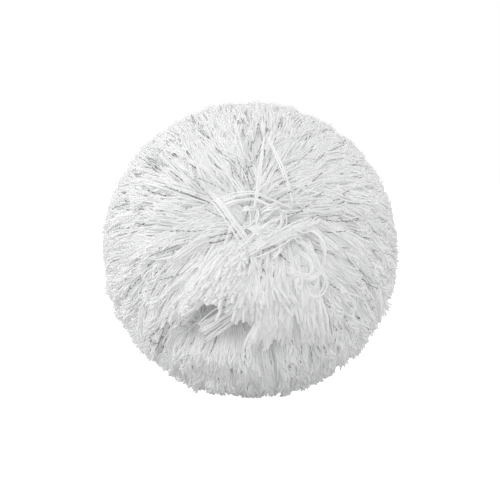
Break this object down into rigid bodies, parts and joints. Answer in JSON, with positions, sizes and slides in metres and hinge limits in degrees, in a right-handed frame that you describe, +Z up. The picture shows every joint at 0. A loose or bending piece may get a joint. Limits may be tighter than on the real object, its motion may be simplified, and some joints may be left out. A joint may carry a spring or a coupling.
{
  "type": "cheer pom pom",
  "caption": "Round hand-held pom pom of white cut yarn with silver threads, tied at its middle, with an elastic finger loop in a hand pocket at the back.",
  "frame": {"origin": "on the surface that the ball rests on, under the middle of the bounding box", "axes": "+Z up, -Y towards the front where the strands part, +Y towards the hand pocket, +X to the right seen from the front"},
  "size_m": [0.1992, 0.1856, 0.1966],
  "materials": {
    "yarn": "matte",
    "tinsel": "polished",
    "cord": "matte",
    "webbing": "matte",
    "thread": "satin"
  },
  "bodies": {
    "pom": {"yarn_hank_01": "yarn", "yarn_hank_02": "yarn", "yarn_hank_03": "yarn", "yarn_hank_04": "yarn", "yarn_hank_05": "yarn", "yarn_hank_06": "yarn", "yarn_hank_07": "yarn", "yarn_hank_08": "yarn", "yarn_hank_09": "yarn", "yarn_hank_10": "yarn", "yarn_hank_11": "yarn", "yarn_hank_12": "yarn", "front_tuft_1": "yarn", "front_tuft_2": "yarn", "front_tuft_3": "yarn", "front_tuft_4": "yarn", "front_tuft_5": "yarn", "tinsel_bunch_01": "tinsel", "tinsel_bunch_02": "tinsel", "tinsel_bunch_03": "tinsel", "tinsel_bunch_04": "tinsel", "tinsel_bunch_05": "tinsel", "tinsel_bunch_06": "tinsel", "tinsel_bunch_07": "tinsel", "tinsel_bunch_08": "tinsel", "tinsel_bunch_09": "tinsel", "tinsel_bunch_10": "tinsel", "tinsel_bunch_11": "tinsel", "tinsel_bunch_12": "tinsel", "binding_cord": "cord", "binding_knot": "cord", "anchor_cord": "cord"},
    "loop": {"finger_loop": "webbing", "bar_tack_1": "thread", "bar_tack_2": "thread"}
  },
  "joints": [
    {"name": "loop_swing", "type": "hinge", "parent": "pom", "child": "loop", "pos_m": [0, 0.02401, 0.097], "axis": [1, 0, 0], "range_deg": [-25, 25]}
  ]
}
